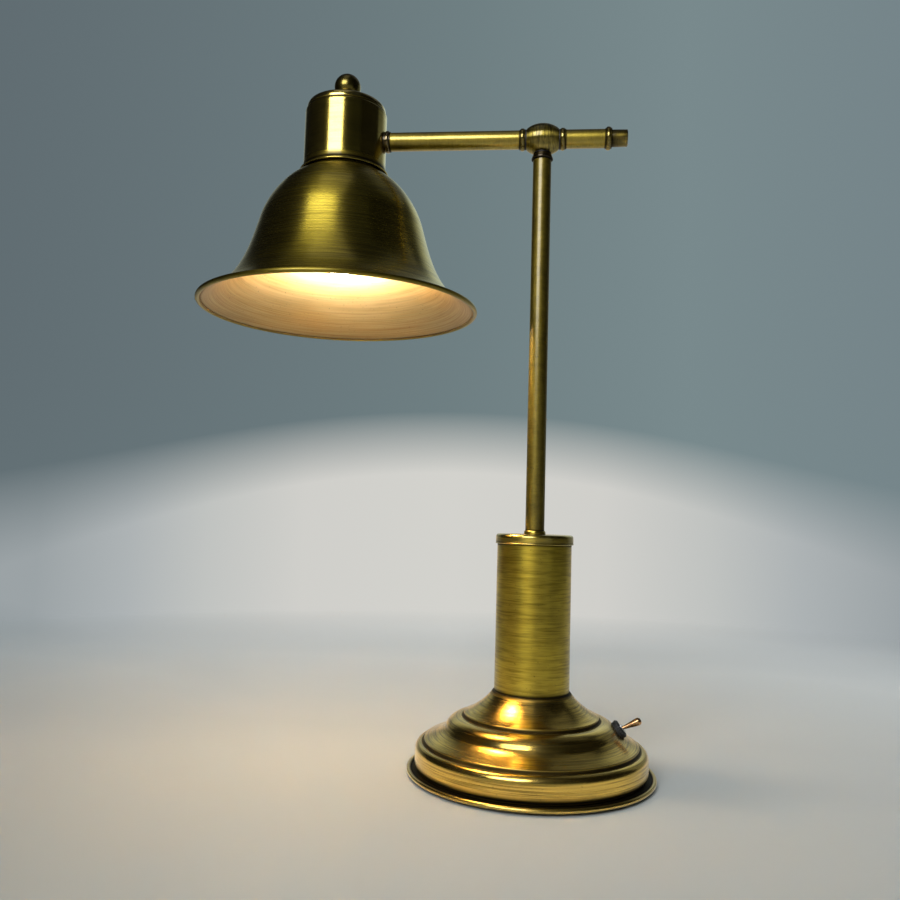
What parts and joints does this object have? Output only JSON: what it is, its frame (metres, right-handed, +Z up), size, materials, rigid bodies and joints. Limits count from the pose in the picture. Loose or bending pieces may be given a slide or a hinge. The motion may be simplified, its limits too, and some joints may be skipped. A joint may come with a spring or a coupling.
{
  "type": "desk lamp",
  "caption": "Desk lamp: weighted round base, column and post, a ball tee whose cross arm swings and turns, and a bell shade on a socket cup.",
  "frame": {"origin": "underside of the felt pad, on the post axis", "axes": "+Z up along the post; -X towards the shade, +X towards the tail of the arm; -Y towards the viewer"},
  "size_m": [0.3121, 0.1906, 0.4718],
  "materials": {
    "antique_brass": "antiqued, brushed round the turning axis, clear lacquered",
    "steel": "zinc plated",
    "iron": "as cast, black paint",
    "felt": "pressed felt",
    "rubber": "matt moulded",
    "fibre": "vulcanised fibre",
    "black_plastic": "moulded, satin",
    "bakelite": "moulded phenolic",
    "nylon": "moulded nylon",
    "lead_sheath": "extruded sheath",
    "nickel": "nickel-plated brass",
    "bulb_glass": "inside frosted, lit warm white",
    "stem_glass": "clear",
    "filament": "glowing"
  },
  "bodies": {
    "stand": {"felt_pad": "felt", "base_pan": "antique_brass", "pan_screws": "steel", "base_weight": "iron", "base_cover": "antique_brass", "rod_nut": "steel", "rod_washer": "steel", "tie_rod": "steel", "base_spacer": "steel", "column_seat": "steel", "column_tube": "antique_brass", "column_cap": "antique_brass", "post_foot_ring": "antique_brass", "post_tube": "antique_brass", "swivel_stud": "steel", "post_collar": "antique_brass", "swivel_washer": "fibre", "terminal_block": "nylon", "cable_bush": "rubber", "riser_lead": "lead_sheath", "switch_leads": "black_plastic", "switch_body": "black_plastic", "switch_bush": "steel", "switch_gasket": "rubber", "switch_nut": "black_plastic"},
    "lever": {"switch_lever": "antique_brass"},
    "tee": {"ball_tee": "antique_brass", "tee_dog_screw": "steel"},
    "head": {"arm_tube": "antique_brass", "arm_collar_left": "antique_brass", "arm_collar_right": "antique_brass", "friction_washer_left": "fibre", "friction_washer_right": "fibre", "tail_bead": "antique_brass", "tail_plug": "antique_brass", "cup_collar": "antique_brass", "cup_nipple": "steel", "saddle_washer": "steel", "cup_nut": "steel", "arm_lead": "lead_sheath", "socket_cup": "antique_brass", "cup_lid": "antique_brass", "finial": "antique_brass", "top_nipple": "steel", "holder_cap": "bakelite", "holder_body": "bakelite", "screw_shell": "nickel", "centre_contact": "nickel", "shade_ring": "bakelite", "shade": "antique_brass", "bulb_cap": "nickel", "bulb_glass": "bulb_glass", "bulb_stem": "stem_glass", "bulb_filament": "filament"}
  },
  "joints": [
    {"name": "arm_swing", "type": "hinge", "parent": "stand", "child": "tee", "pos_m": [0, 0, 0.4223], "axis": [0, 0, 1], "range_deg": [-170, 170]},
    {"name": "shade_tilt", "type": "hinge", "parent": "tee", "child": "head", "pos_m": [0, 0, 0.4223], "axis": [1, 0, 0], "range_deg": [-70, 70]},
    {"name": "switch_toggle", "type": "hinge", "parent": "stand", "child": "lever", "pos_m": [0.0559, 0, 0.0308], "axis": [0, -1, 0], "range_deg": [0, 26]}
  ]
}
